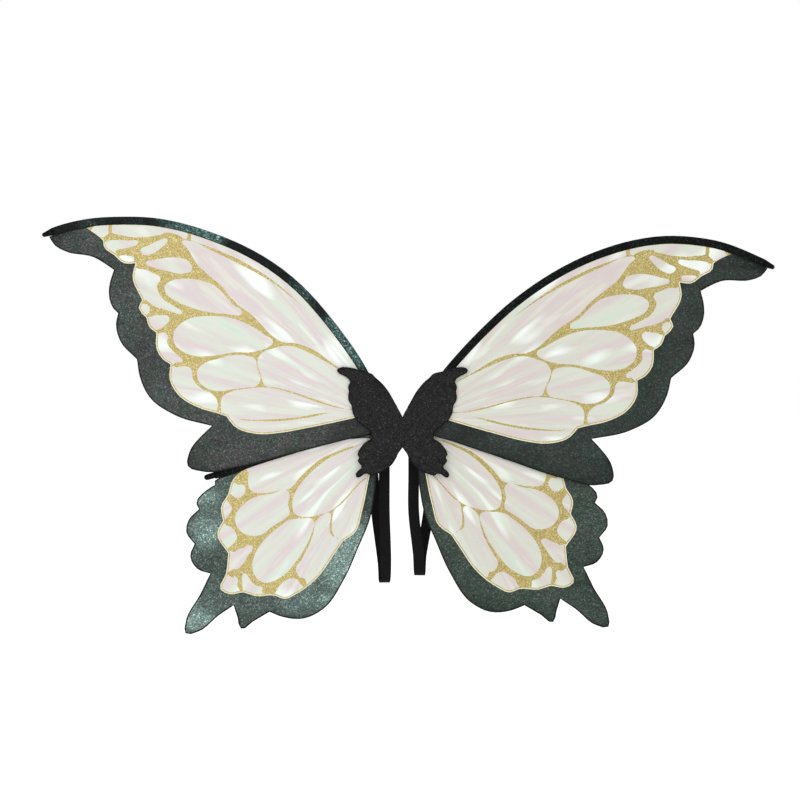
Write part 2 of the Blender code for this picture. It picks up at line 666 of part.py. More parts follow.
def make_wing(label, side):
    """All pieces of one wing: socket, rod, casing, end cap, border and film."""
    upper = label == "upper"
    plane = UPPER_PLANE if upper else LOWER_PLANE
    pivot = Vector(UPPER_PIVOT if upper else LOWER_PIVOT)
    shape = upper_shape if upper else lower_shape
    rod_path = UPPER_ROD_PATH if upper else LOWER_ROD_PATH
    border_edge = UPPER_BORDER_EDGE if upper else LOWER_BORDER_EDGE
    film_edge = UPPER_FILM_EDGE if upper else LOWER_FILM_EDGE
    window_edge = UPPER_WINDOW_EDGE if upper else LOWER_WINDOW_EDGE
    spans = UPPER_SPANS if upper else LOWER_SPANS

    def shaped(outline):
        return flip([shape(p, side) for p in outline], side)

    def panel(span, distance, edge):
        """Joins the side that follows the rod to the free edge."""
        top = rod_edge(rod_path, span[0], span[1], distance)
        free = smooth([tuple(top[-1]) + (CORNER,)] + edge + [tuple(top[0]) + (CORNER,)],
                      OUTLINE_STEP, closed=False)
        return shaped(top[:-1] + free[:-1])

    tail = "_%s_%s" % (label, side)
    path = [shape(p, side) for p in rod_path]
    heading = (path[-1] - path[-2]).normalized()
    root_heading = (path[1] - path[0]).normalized()

    border = slab("border" + tail, panel(spans["border"], CASING_HALF_W + SEAM_GAP, border_edge),
                  plane + BORDER_THICK / 2, plane - BORDER_THICK / 2,
                  [panel(spans["window"], CASING_HALF_W + WINDOW_MARGIN, window_edge),
                   circle(pivot.x * SIDES[side], pivot.y, EYELET_R)])
    film_back = plane - BORDER_THICK / 2 - GAP
    film = slab("film" + tail, panel(spans["film"], CASING_HALF_W + 2 * SEAM_GAP, film_edge),
                film_back, film_back - FILM_THICK)

    socket_end = path[0] + root_heading * SOCKET_LENGTH
    lug_front = plane + BORDER_THICK / 2 + GAP
    outline = teardrop(pivot, LUG_R, path[0] + root_heading * LUG_FOOT, SOCKET_R)
    socket = slab("socket" + tail, flip(outline, side), lug_front + LUG_THICK, lug_front)
    mirror = SIDES[side]
    tube_start = path[0] - root_heading * SOCKET_FLOOR / 2
    tube = bar("tube", (tube_start.x * mirror, tube_start.y),
               (socket_end.x * mirror, socket_end.y), SOCKET_R, plane)
    combine(socket, tube, "UNION")
    bore_start = path[0] + root_heading * SOCKET_FLOOR
    bore_end = path[0] + root_heading * (SOCKET_LENGTH + OVERCUT)
    bore = bar("bore", (bore_start.x * mirror, bore_start.y), (bore_end.x * mirror, bore_end.y),
               BORE_R, plane, count=18)
    combine(socket, bore, "DIFFERENCE")
    drill(socket, pivot.x * mirror, pivot.y, LUG_HOLE_R, lug_front + LUG_THICK + OVERCUT,
          lug_front - OVERCUT)

    shared = [p for p in path if p.x > socket_end.x + CASING_LEAD]
    rod_points = [path[0] + root_heading * (SOCKET_FLOOR + GAP), socket_end] + shared
    rod = swept("rod" + tail, flip(rod_points, side), plane, [(ROD_R, ROD_R, 10)])

    cap_start = path[-1] - heading * CAP_OVERLAP
    base_r, tip_r = UPPER_CAP_RADII if upper else LOWER_CAP_RADII
    profile = [(CAP_OVERLAP + GAP, 0), (CAP_OVERLAP + GAP, BORE_R), (0, BORE_R), (0, base_r)]
    for i in range(CAP_ROUND_STEPS):
        turn = math.pi / 2 * i / CAP_ROUND_STEPS
        profile.append((CAP_LENGTH - tip_r * (1 - math.sin(turn)), tip_r * math.cos(turn)))
    profile.append((CAP_LENGTH, 0))
    cap = turned("rod_cap" + tail, profile, (cap_start.x * mirror, plane, cap_start.y),
                 (heading.x * mirror, 0, heading.y), count=16)

    casing_start = socket_end + (shared[0] - socket_end).normalized() * CASING_START
    casing_end = cap_start - heading * GAP
    casing_points = [casing_start] + [p for p in shared if p.x < casing_end.x - CASING_START] + [casing_end]
    casing = swept("casing" + tail, flip(casing_points, side), plane,
                   [(CASING_HALF_W, CASING_HALF_D, 12), (BORE_R, BORE_R, 12)])
    return [border, film, socket, rod, cap, casing]


def mark(name, location, parent=None, roll=0.0):
    """An empty on a joint's axis."""
    empty = bpy.data.objects.new(name, None)
    bpy.context.collection.objects.link(empty)
    empty.parent = parent
    empty.location = Vector(location) * MM
    empty.rotation_euler = (0, roll, 0)
    return empty


def hang(pieces, empty, origin):
    """Parents pieces to an empty and moves their origins onto it."""
    for piece in pieces:
        piece.data.transform(Matrix.Translation(-Vector(origin) * MM))
        piece.parent = empty


def colour(obj, name, rgb, roughness):
    material = bpy.data.materials.new(obj.name)
    material.use_nodes = True
    shader = material.node_tree.nodes["Principled BSDF"]
    shader.inputs["Base Color"].default_value = (*rgb, 1)
    shader.inputs["Roughness"].default_value = roughness
    obj.data.materials.clear()
    obj.data.materials.append(material)


# Colour and roughness by the first word of a piece's name.
LOOKS = {
    "border": ((0.045, 0.07, 0.055), 0.6),
    "film": ((0.78, 0.76, 0.70), 0.25),
    "casing": ((0.008, 0.008, 0.008), 0.7),
    "rod": ((0.01, 0.01, 0.01), 0.4),
    "socket": ((0.02, 0.02, 0.02), 0.5),
    "cover": ((0.02, 0.02, 0.02), 0.8),
    "strap": ((0.01, 0.01, 0.01), 0.8),
    "back": ((0.03, 0.03, 0.03), 0.7),
    "root": ((0.04, 0.04, 0.04), 0.5),
    "upper": ((0.5, 0.5, 0.5), 0.35),
    "lower": ((0.5, 0.5, 0.5), 0.35),
    "pivot": ((0.4, 0.4, 0.4), 0.35),
    "rivet": ((0.5, 0.5, 0.5), 0.35),
    "fold": ((0.5, 0.5, 0.5), 0.35),
}


for old in list(bpy.data.objects):
    bpy.data.objects.remove(old)

fold_origin = (0, FOLD_Y, 0)
everything = make_spine()
for side in SIDES:
    hub = mark("fold_axis_" + side, fold_origin)
    leaf_pieces = make_leaf(side)
    hang(leaf_pieces, hub, fold_origin)
    everything += leaf_pieces
    for label, pivot, roll in (("upper", UPPER_PIVOT, UPPER_ROLL), ("lower", LOWER_PIVOT, 0.0)):
        place = (pivot[0] * SIDES[side], 0, pivot[1])
        swing = mark("%s_swing_axis_%s" % (label, side), Vector(place) - Vector(fold_origin), hub, roll)
        wing_pieces = make_wing(label, side)
        hang(wing_pieces, swing, place)
        everything += wing_pieces

for piece in everything:
    tint, roughness = LOOKS[piece.name.split("_")[0]]
    colour(piece, piece.name, tint, roughness)
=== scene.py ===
"""Looks of the fairy wings: pearly film with gold glitter veins, dark glitter borders, felt cover.

Wing outlines and cells are drawn in millimetres for the right side, with x pointing outwards and
y up, and are placed on both sides by the same rules as in the CAD part. Meshes are in metres.
"""
import json
import math

import bpy
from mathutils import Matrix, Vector, noise
from mathutils.geometry import delaunay_2d_cdt
from mathutils.kdtree import KDTree

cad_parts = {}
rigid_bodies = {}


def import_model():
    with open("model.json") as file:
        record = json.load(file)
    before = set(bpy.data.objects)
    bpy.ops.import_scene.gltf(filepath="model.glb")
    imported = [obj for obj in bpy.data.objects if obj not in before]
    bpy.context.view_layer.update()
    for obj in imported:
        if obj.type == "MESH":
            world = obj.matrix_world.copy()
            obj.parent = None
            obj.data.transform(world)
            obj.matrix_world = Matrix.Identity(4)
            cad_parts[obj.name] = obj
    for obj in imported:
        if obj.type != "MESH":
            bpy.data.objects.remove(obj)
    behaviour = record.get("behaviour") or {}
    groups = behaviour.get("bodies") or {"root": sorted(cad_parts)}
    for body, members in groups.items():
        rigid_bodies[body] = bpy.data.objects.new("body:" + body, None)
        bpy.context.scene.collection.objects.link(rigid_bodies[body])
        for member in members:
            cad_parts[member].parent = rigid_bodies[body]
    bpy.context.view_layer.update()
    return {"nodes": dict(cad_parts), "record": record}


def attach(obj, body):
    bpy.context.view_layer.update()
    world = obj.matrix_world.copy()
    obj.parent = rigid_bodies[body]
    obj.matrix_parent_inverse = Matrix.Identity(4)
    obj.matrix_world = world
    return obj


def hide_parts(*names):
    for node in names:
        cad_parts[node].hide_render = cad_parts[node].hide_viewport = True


MM = 0.001
SIDES = {"left": -1, "right": 1}

# Placement of the wings, as in the CAD part: the pivots, the roll of the upper pair, the bows of
# its leading edges as (rise, middle, width), the shift of the lower pair, which fades in from the
# pivot, and the centre line of the upper rod.
UPPER_PIVOT = (17.0, 27.0)
LOWER_PIVOT = (22.0, -8.0)
UPPER_ROLL = math.radians(2.1)
BOWS = ((6.0, 150.0, 100.0), (4.5, 490.0, 60.0))
LOWER_SHIFT = (7.5, -4.5)
SHIFT_START = 12.0
SHIFT_END = 45.0
UPPER_ROD = [
    (24, 38), (36.6, 53.5), (66.5, 97), (107, 146), (148, 187.4), (188.5, 218), (229, 241),
    (270, 258), (310, 270), (350.5, 276.6), (391, 276.6), (432, 271.8), (472, 260), (497, 250),
]

# Spacing of points along curves and outlines.
ROD_PATH_STEP = 15.0
STRIP_STEP = 4.0
CELL_STEP = 2.5
ROD_STEP = 2.0
FINE_STEP = 0.8

# Film sheet: spacing of its mesh, its rows' share of that, and its thickness. Along its hem, which
# is its edge away from the rod, it has a pale band and then gold piping.
FILM_STEP = 3.0
ROW_SHARE = 0.87
FILM_THICK = 0.25
HEM_FROM_ROD = 8.0
BAND = 1.3
PIPING = 1.4

# A cell grows by VEIN_TRIM, and within CELL_REACH of the hem up to the piping, in steps. It stops
# where the vein between it and another cell would be thinner than VEIN_LEAST.
VEIN_TRIM = 1.0
CELL_REACH = 10.0
VEIN_LEAST = 2.2
GROW_STEP = 0.5

# Ripples of the film: their height, the point that they fan out from, the strip along the edge
# where they fade, the coarse and fine ribs per radian, and the size and share of the crumples.
RIPPLE = 0.7
FILM_ROOT = (10.0, 12.0)
FADE = 22.0
RIBS = 31
RIB_WANDER = 2.2
WANDER_TURNS = 3
WANDER_LENGTH = 90
FINE_RIBS = 53
FINE_SHARE = 0.7
FINE_SLANT = 70
FINE_PHASE = 1.7
RIB_BASE = 1.7
RIB_SHARE = 0.4
CRUMPLE = 26
CRUMPLE_SEED = 3.0
CRUMPLE_BASE = 0.5
CRUMPLE_SHARE = 0.8
POLAR_LENGTH = 400

# Dark rolled edges: widths on borders and cover, how far they stand out round and above the piece,
# and the half width of the cover's waist, which stays free of them.
BORDER_EDGE = 1.5
COVER_EDGE = 1.3
EDGE_PROUD = 0.3
EDGE_RISE = 0.2
COVER_WAIST_X = 6.5

# How much wider than its CAD node a piece is drawn.
CASING_WIDER = 0.7
CAP_WIDER = 0.9
WAIST_WIDER = 0.3

# Back pad: spacing of its outline's points, its rings, the drop of its edge, and its sewn channel.
PAD_STEP = 3.0
PAD_RINGS = 24
PAD_TUCK = 0.04
PAD_CROWN = 2.6
PAD_CHANNEL = 1.0
PAD_SEAM = 0.72
PAD_SEAM_WIDTH = 0.035

# Tolerances in metres, one in millimetres for the film's mesh, a distance beyond any other in
# millimetres, and the angle from which an edge stays sharp.
SAME_LEVEL = 1e-5
WELD_WITHIN = 1e-5
MERGE_WITHIN = 1e-4
FAR = 99.0
SHARP = math.radians(50.0)

# Clear cells between the gold veins of an upper wing.
UPPER_CELLS = [
    [(64, 76), (78, 94), (92, 112), (112, 132), (150, 168), (185, 194), (230, 219), (270, 238),
     (302, 251), (309, 251), (303, 243), (296, 233), (288, 221), (275, 209), (260, 197),
     (250, 188), (240, 176), (225, 163), (213, 155), (203, 146), (190, 133), (180, 124),
     (165, 117), (150, 116), (135, 112), (118, 104), (104, 94.5), (90, 85.5), (78, 78.5), (68, 72),
     (61, 70)],
    [(182, 115), (195, 126), (215, 138), (240, 147), (270, 149), (295, 145), (308, 137),
     (316, 126), (315, 112), (305, 102), (288, 96), (262, 97), (235, 102), (205, 104), (190, 109)],
    [(226, 156), (238, 165), (252, 180), (265, 191), (283, 197), (305, 199), (322, 196),
     (331, 188), (329, 180), (315, 170), (298, 163), (275, 157), (250, 154.5)],
    [(296, 213), (300, 222), (312, 227), (330, 227), (348, 223), (358, 220), (348, 215),
     (330, 211), (308, 208)],
    [(332, 253), (342, 250), (355, 243), (366, 236), (362, 232), (350, 234), (340, 241)],
    [(336, 264), (352, 267), (375, 267.5), (398, 265.5), (406, 262), (392, 257), (370, 255.5),
     (350, 258)],
    [(415, 263), (424, 262), (432, 259.5), (424, 256), (416, 255), (412, 259)],
    [(304, 258), (314, 262.5), (326, 266), (338, 268), (338, 265.5), (326, 263), (315, 260),
     (305, 255.5)],
    [(371, 247), (385, 248.5), (400, 248.5), (411, 246), (413, 240), (407, 236), (395, 238),
     (380, 242)],
    [(376, 225), (386, 228), (395, 227), (398, 224), (388, 222), (379, 222.5)],
    [(339, 199), (350, 206), (362, 210), (369, 209), (371, 202), (367, 189), (360, 175),
     (348, 164), (330, 158), (308, 154.5), (318, 161), (333, 170), (341, 180), (343, 190)],
    [(352, 157), (358, 163), (362, 158), (361, 152), (356, 150)],
    [(325, 146), (337, 148), (347, 146), (350, 141), (345, 134), (338, 131), (331, 135)],
    [(326, 121), (331, 125), (336, 116), (336, 104), (330, 96), (318, 89), (305, 88), (312, 95),
     (322, 104), (327, 112)],
    [(294, 78), (304, 79), (313, 76), (316, 66), (313, 53), (304, 43), (289, 34), (272, 26),
     (256, 22), (255, 34), (262, 43), (277, 50), (289, 62)],
    [(205, 92), (218, 96.5), (238, 96), (258, 90), (274, 84), (282, 74), (280, 62), (268, 52),
     (250, 49), (235, 52), (215, 55), (201, 58), (197, 66), (202, 80)],
    [(66, 66), (80, 75.5), (104, 88.5), (122, 98), (138, 105), (152, 109.5), (166, 110.5),
     (180, 107), (196, 99.5), (200, 92), (198, 80), (193, 68), (190, 59), (175, 56.5), (150, 51),
     (120, 42), (92, 34), (74, 31), (60, 38), (57, 50)],
    [(66, 27), (84, 29), (115, 36), (150, 47), (185, 54), (215, 51.5), (235, 47), (246, 40),
     (248, 28), (245, 18), (232, 14), (212, 11.5), (180, 13), (145, 17), (110, 24)],
    [(72, 24), (95, 23), (130, 15), (165, 9.5), (195, 8), (220, 9), (233, 11.5), (229, 5),
     (216, -1), (200, -4), (172, -2), (132, 6.5), (100, 15)],
]
# The narrow strip beside the upper rod: its distances from the rod's centre line, and its x range.
STRIP = (8.6, 13.3, 84, 296)
# Clear cells of a lower wing.
LOWER_CELLS = [
    [(46, -8), (60, -8.5), (82.5, -11), (107.5, -16.5), (137.5, -26), (167.5, -35.5), (190, -43.5),
     (202, -53), (203.5, -65), (199.5, -74.5), (182.5, -77.5), (162.5, -74.5), (145.5, -70.5),
     (135.5, -58.5), (119.5, -42.5), (102.5, -29.5), (80, -20), (62, -13.5), (47, -11)],
    [(210.5, -68.5), (220, -70), (225, -76), (224, -82), (217.5, -84.5), (210.5, -79.5)],
    [(149.5, -77.5), (172.5, -80.5), (192.5, -84.5), (204.5, -90.5), (214.5, -99.5),
     (220.5, -109.5), (219.5, -122.5), (212.5, -131.5), (197.5, -136.5), (185.5, -134.5),
     (172.5, -124.5), (157.5, -114.5), (148.5, -107.5), (150.5, -94.5)],
    [(229, -96), (235, -97), (238, -104), (235, -110), (230, -106)],
    [(220.5, -139.5), (223.5, -131.5), (231, -125), (239, -125.5), (242, -134), (238.5, -145),
     (232.5, -151.5), (225.5, -147.5)],
    [(46, -14), (60, -17.5), (77.5, -24.5), (97.5, -34.5), (112.5, -46.5), (125.5, -59.5),
     (135.5, -72.5), (141.5, -84.5), (142.5, -96.5), (139.5, -106.5), (125.5, -110.5),
     (107.5, -107.5), (89.5, -100.5), (75.5, -88.5), (62.5, -74.5), (53, -64), (42, -54),
     (39, -38), (40, -22)],
    [(45, -62), (52, -68.5), (62.5, -80), (75.5, -94.5), (85.5, -102.5), (87.5, -112.5),
     (88.5, -125.5), (85.5, -136.5), (73.5, -139.5), (64, -132), (56, -116), (51, -99), (47, -82)],
    [(93.5, -106.5), (104.5, -111.5), (109.5, -116.5), (113.5, -132.5), (120.5, -152.5),
     (129.5, -169.5), (137.5, -184.5), (133.5, -192.5), (121.5, -194.5), (107.5, -184.5),
     (96, -168), (86, -151), (82, -142.5), (91.5, -136.5), (93.5, -122.5)],
    [(115.5, -116.5), (132.5, -114.5), (147.5, -116.5), (159.5, -124.5), (175.5, -137.5),
     (187.5, -151.5), (194.5, -164.5), (197.5, -179.5), (193.5, -192.5), (182.5, -200.5),
     (167.5, -197.5), (152.5, -187.5), (139.5, -172.5), (127.5, -154.5), (118.5, -134.5)],
    [(199.5, -151.5), (210.5, -154.5), (222.5, -160.5), (227.5, -169.5), (227.5, -178.5),
     (221.5, -182.5), (213.5, -176.5), (205.5, -164.5)],
    [(134.5, -202.5), (142.5, -196.5), (153.5, -200.5), (162.5, -209.5), (164, -215.5),
     (156, -219), (147.5, -216), (138.5, -210)],
    [(185.5, -209.5), (193.5, -206.5), (203.5, -196.5), (208.5, -189.5), (211.5, -201.5),
     (209, -210.5), (199.5, -215), (189.5, -214.5)],
    [(220.5, -194.5), (227.5, -197.5), (235.5, -204.5), (238, -209.5), (233.5, -213),
     (224.5, -208.5), (219.5, -201.5)],
]
CELLS = {"upper": UPPER_CELLS, "lower": LOWER_CELLS}

# Slots of the film sheet's materials.
CLEAR = 0
GOLD = 1
PALE = 2

# Colours are display values from 0 to 255, and stops are pairs of a level and a colour or share.
FILM_TONES = [(0.27, (190, 219, 202)), (0.39, (213, 217, 205)), (0.50, (210, 209, 201)),
              (0.60, (211, 197, 199)), (0.68, (217, 215, 205)), (0.80, (196, 212, 212))]
# Painted highlights: near-white gleams mixed into the film's colour where their noise is high.
FILM_GLEAM = (246, 255, 252)
GLEAM_SHARE = [(0.56, (0, 0, 0)), (0.72, (0.8, 0.8, 0.8))]
# Per side, a slight film tint; on the right also darker and yellower: painted shade.
FILM_TINTS_AND_SHADE = {"left": (0.99, 1.0, 0.99), "right": (0.91, 0.91, 0.88)}
PALE_BAND = (226, 224, 196)
GOLD_STOPS = (0.0, 0.5, 0.85, 1.0)
# Gold tones per side; the right side's are drawn darker: painted shade, as on the right film.
GOLD_TONES = {
    "left": ((154, 136, 74), (186, 168, 100), (204, 188, 122), (238, 226, 176)),
    "right": ((142, 125, 66), (173, 156, 90), (190, 174, 110), (230, 216, 164)),
}

# Border flecks: the share of them below each brightness. Their colour is multiplied by a tone that
# follows a slow drift over the cloth. A spot (x, z, radius, change), in millimetres at the depth
# BORDER_Y, pushes the drift up or down. The spots that darken the borders near the cover are
# painted shade; those that brighten the lower left one's outer rim are painted highlights.
# A border is its middle colour, its tones and its spots.
FLECKS = ((0.0, 0.4), (0.4, 0.8), (0.75, 1.15), (0.95, 1.9), (1.0, 3.2))
DRIFT_SCALE = 22.0
BORDER_Y = -14.8
# How far a spot pushes the drift: up for painted highlights, down for painted shade.
PAINTED_HIGHLIGHT = 0.35
PAINTED_SHADE = -0.45
EVEN = [(0.05, (0.3, 0.33, 0.31)), (0.36, (0.72, 0.74, 0.76)), (0.46, (0.72, 0.88, 0.80)),
        (0.56, (0.97, 0.92, 0.94)), (0.68, (0.9, 1.1, 1.06))]
UNEVEN = [(0.10, (0.13, 0.14, 0.13)), (0.40, (0.36, 0.33, 0.32)), (0.60, (0.5, 0.48, 0.47)),
          (0.85, (1.1, 1.1, 1.1))]
# Middle colours partly painted light: lighter on the left wings, darkest on the upper right.
BORDERS = {
    "upper_right": ((42, 50, 46), EVEN, [(55, 0, 100, PAINTED_SHADE)]),
    "upper_left": ((68, 71, 69), EVEN, [(-55, 0, 110, PAINTED_SHADE)]),
    "lower_right": ((58, 69, 62), EVEN, [(30, -50, 75, PAINTED_SHADE)]),
    "lower_left": ((113, 135, 129), UNEVEN, [
        (-38, -60, 75, PAINTED_SHADE), (-104, -222, 75, 0.42), (-70, -172, 60, 0.5),
        (-278, -97, 42, PAINTED_HIGHLIGHT), (-274, -135, 36, PAINTED_HIGHLIGHT), (-285, -262, 45, PAINTED_HIGHLIGHT)]),
}
FELT_TONES = [(0.0, (20, 20, 20)), (0.5, (35, 35, 36)), (0.95, (46, 46, 47)), (1.0, (74, 74, 76))]
CASING_TONES = [(0.0, (5, 6, 6)), (0.8, (11, 12, 12)), (1.0, (38, 52, 50))]
TEAL_TONES = [(0.0, (30, 48, 46)), (0.6, (62, 92, 90)), (0.95, (110, 150, 146)),
              (1.0, (190, 214, 208))]
# Teal cloth: mostly dark, bright at the gleams, which are painted highlights on its casing.
TEAL_DRIFT = [(0.45, (0.03, 0.03, 0.03)), (0.62, (0.2, 0.2, 0.2)), (0.85, (0.9, 0.9, 0.9))]
CASING_GLEAMS = [(-58, 100), (-92, 142), (-140, 190), (-262, 262), (-300, 274)]
CASING_GLEAM_R = 42

# Stage: floor, lamps as (name, place, side, power), and the camera, all in metres.
FLOOR_Z = -0.36
FLOOR_HALF = 40.0
FLOOR_GREY = 0.9
FLOOR_GLOW = 0.2
LAMPS = [
    ("key", (-1.6, -2.4, 1.9), 0.8, 12),
    ("fill", (1.9, -2.6, 0.9), 1.2, 3),
    ("back", (0.8, 2.6, 1.8), 1.2, 9),
]
VIEW_WIDTH = 1.096
VIEW_CENTRE = (-0.0034, 0.0445)
WING_DEPTH = 0.02
DISTANCE = 3.2
SENSOR = 36.0


def clamp(value):
    """A value kept between 0 and 1."""
    return max(0.0, min(1.0, value))


def ease(value):
    """A smooth step from 0 to 1."""
    value = clamp(value)
    return value * value * (3 - 2 * value)


def smooth(points, step, closed=True):
    """Samples a smooth curve through the points."""
    plain = [Vector(p) for p in points]
    count = len(plain)
    spans = count if closed else count - 1
    heading = []
    for i in range(count):
        before = plain[i] - plain[i - 1]
        after = plain[(i + 1) % count] - plain[i]
        if not closed and i == 0:
            before = after
        if not closed and i == count - 1:
            after = before
        mixed = before.normalized() * after.length + after.normalized() * before.length
        heading.append(mixed.normalized())
    result = []
    for i in range(spans):
        j = (i + 1) % count
        length = (plain[j] - plain[i]).length
        pieces = max(1, round(length / step))
        for k in range(pieces):
            t = k / pieces
            result.append(
                plain[i] * (2 * t**3 - 3 * t**2 + 1)
                + heading[i] * length * (t**3 - 2 * t**2 + t)
                + plain[j] * (3 * t**2 - 2 * t**3)
                + heading[j] * length * (t**3 - t**2)
            )
    if not closed:
        result.append(plain[-1])
    return result


def beside(path, distance):
    """Moves an open path sideways: a positive distance goes to its right-hand side."""
    moved = []
    for i, point in enumerate(path):
        along = path[min(i + 1, len(path) - 1)] - path[max(i - 1, 0)]
        along.normalize()
        moved.append(point + Vector((along.y, -along.x)) * distance)
    return moved


def height_at(path, x):
    """The height of an open path at x, which is that of its end outside its range."""
    for a, b in zip(path, path[1:]):
        if a.x <= x <= b.x:
            return a.y + (b.y - a.y) * (x - a.x) / (b.x - a.x)
    return path[0].y if x < path[0].x else path[-1].y


UPPER_ROD_PATH = smooth(UPPER_ROD, ROD_PATH_STEP, closed=False)


def upper_place(point, side):
    """A point of the upper wing's drawing in the part's frame, in millimetres."""
    bow = sum(rise * math.exp(-(((point.x - mid) / width) ** 2)) for rise, mid, width in BOWS)
    share = clamp(point.y / height_at(UPPER_ROD_PATH, point.x))
    reach = ease((point.x - UPPER_PIVOT[0] - SHIFT_START) / SHIFT_END)
    sign = SIDES[side]
    x = (point.x - UPPER_PIVOT[0]) * sign
    z = point.y - sign * bow * share * share * reach - UPPER_PIVOT[1]
    turned_x = x * math.cos(UPPER_ROLL) + z * math.sin(UPPER_ROLL)
    turned_z = z * math.cos(UPPER_ROLL) - x * math.sin(UPPER_ROLL)
    return Vector((turned_x + UPPER_PIVOT[0] * sign, turned_z + UPPER_PIVOT[1]))


def lower_place(point, side):
    """A point of the lower wing's drawing in the part's frame, in millimetres."""
    reach = ((point - Vector(LOWER_PIVOT)).length - SHIFT_START) / (SHIFT_END - SHIFT_START)
    moved = point - Vector(LOWER_SHIFT) * SIDES[side] * ease(reach)
    return Vector((moved.x * SIDES[side], moved.y))


PLACES = {"upper": upper_place, "lower": lower_place}


def signed_area(loop):
    """The area of a closed outline, negative if it runs clockwise."""
    return sum(a.x * b.y - b.x * a.y for a, b in zip(loop, loop[1:] + loop[:1])) / 2


def polygon_area(loop):
    """The area of a closed outline."""
    return abs(signed_area(loop))


def outlines_of(node):
    """The front outlines of a flat CAD node in millimetres, largest first, and its Y levels."""
    mesh = node.data
    front = min(v.co.y for v in mesh.vertices)
    back = max(v.co.y for v in mesh.vertices)
    index = {}
    places = []
    of_vertex = {}
    for v in mesh.vertices:
        if abs(v.co.y - front) < SAME_LEVEL:
            key = (round(v.co.x, 6), round(v.co.z, 6))
            if key not in index:
                index[key] = len(places)
                places.append(Vector((v.co.x, v.co.z)) / MM)
            of_vertex[v.index] = index[key]
    uses = set()
    for face in mesh.polygons:
        if not all(i in of_vertex for i in face.vertices):
            continue
        ring = [of_vertex[i] for i in face.vertices]
        uses.update(zip(ring, ring[1:] + ring[:1]))
    following = {a: b for (a, b) in uses if (b, a) not in uses}
    loops = []
    while following:
        start = min(following)
        loop = [start]
        while True:
            after = following.pop(loop[-1])
            if after == start:
                break
            loop.append(after)
        loops.append([places[i] for i in loop])
    loops.sort(key=polygon_area, reverse=True)
    return loops, front / MM, back / MM


def resample(loop, step):
    """Adds points so that no side of a loop is longer than the step."""
    result = []
    for a, b in zip(loop, loop[1:] + loop[:1]):
        pieces = max(1, math.ceil((b - a).length / step))
        result += [a + (b - a) * k / pieces for k in range(pieces)]
    return result


def inside(point, loop):
    """Whether a point is inside a closed outline."""
    hit = False
    for a, b in zip(loop, loop[1:] + loop[:1]):
        if (a.y > point.y) != (b.y > point.y):
            if point.x < a.x + (b.x - a.x) * (point.y - a.y) / (b.y - a.y):
                hit = not hit
    return hit


def box_of(loop):
    """The least and greatest x, then the least and greatest y of an outline."""
    return (min(p.x for p in loop), max(p.x for p in loop),
            min(p.y for p in loop), max(p.y for p in loop))


class Near:
    """Distances to a dense row of points."""

    def __init__(self, points):
        self.tree = KDTree(len(points))
        for i, point in enumerate(points):
            self.tree.insert((point.x, point.y, 0), i)
        self.tree.balance()

    def __call__(self, point):
        return self.tree.find((point.x, point.y, 0))[2]


def outwards(loop):
    """Unit vectors that point out of a closed outline, one at each of its points."""
    turn = 1 if signed_area(loop) > 0 else -1
    result = []
    for i in range(len(loop)):
        along = (loop[(i + 1) % len(loop)] - loop[i - 1]).normalized()
        result.append(Vector((along.y, -along.x)) * turn)
    return result


def inset(loop, depth):
    """A closed outline moved inwards."""
    return [point - out * depth for point, out in zip(loop, outwards(loop))]


def grown(cell, edge, hem, others):
    """A cell drawn a little larger, and right up to the piping where the film's hem is near."""
    result = []
    for point, out in zip(cell, outwards(cell)):
        best = point + out * VEIN_TRIM
        if edge(point) < CELL_REACH + BAND:
            travel = 0.0
            while travel < CELL_REACH:
                probe = point + out * travel
                if min((other(probe) for other in others), default=FAR) < VEIN_LEAST:
                    break
                if hem(probe) < BAND + PIPING or edge(probe) < GROW_STEP:
                    best = probe
                    break
                travel += GROW_STEP
        result.append(best)
    return result


def film_cells(label, side, edge, hem):
    """The clear cells of a film, placed on its side and grown."""
    place = PLACES[label]
    cells = [[place(p, side) for p in smooth(cell, CELL_STEP)] for cell in CELLS[label]]
    if label == "upper":
        near, far, first, last = STRIP
        rod = smooth(UPPER_ROD, STRIP_STEP, closed=False)
        path = [p for p in rod if first < p.x < last]
        strip = beside(path, near) + beside(path, far)[::-1]
        cells.append([place(p, side) for p in strip])
    nears = [Near(resample(cell, FINE_STEP)) for cell in cells]
    return [grown(cell, edge, hem, nears[:i] + nears[i + 1:]) for i, cell in enumerate(cells)]


def film_triangles(outline, cells, edge):
    """Points and faces that fill a film's outline and follow its cells, band and piping."""
    rings = [outline] + cells + [inset(outline, BAND), inset(outline, BAND + PIPING)]
    points = []
    edges = []
    for ring in rings:
        first = len(points)
        count = len(ring)
        points += ring
        edges += [(first + i, first + (i + 1) % count) for i in range(count)]
    low_x, high_x, low_y, high_y = box_of(outline)
    rows = math.ceil((high_y - low_y) / (FILM_STEP * ROW_SHARE))
    columns = math.ceil((high_x - low_x) / FILM_STEP)
    for row in range(rows + 1):
        shift = 0.5 if row % 2 else 0.0
        y = low_y + row * FILM_STEP * ROW_SHARE
        for column in range(columns + 1):
            point = Vector((low_x + (column + shift) * FILM_STEP, y))
            if inside(point, outline) and edge(point) > FILM_STEP / 2:
                points.append(point)
    verts, _, faces = delaunay_2d_cdt(points, edges, [], 0, MERGE_WITHIN)[:3]
    return verts, faces


def film_slot(point, cells, boxes, hem):
    """The material slot of a film's face that has its middle at the point."""
    depth = hem(point)
    if depth < BAND:
        return PALE
    if depth < BAND + PIPING:
        return GOLD
    for cell, (low_x, high_x, low_y, high_y) in zip(cells, boxes):
        if low_x < point.x < high_x and low_y < point.y < high_y and inside(point, cell):
            return CLEAR
    return GOLD


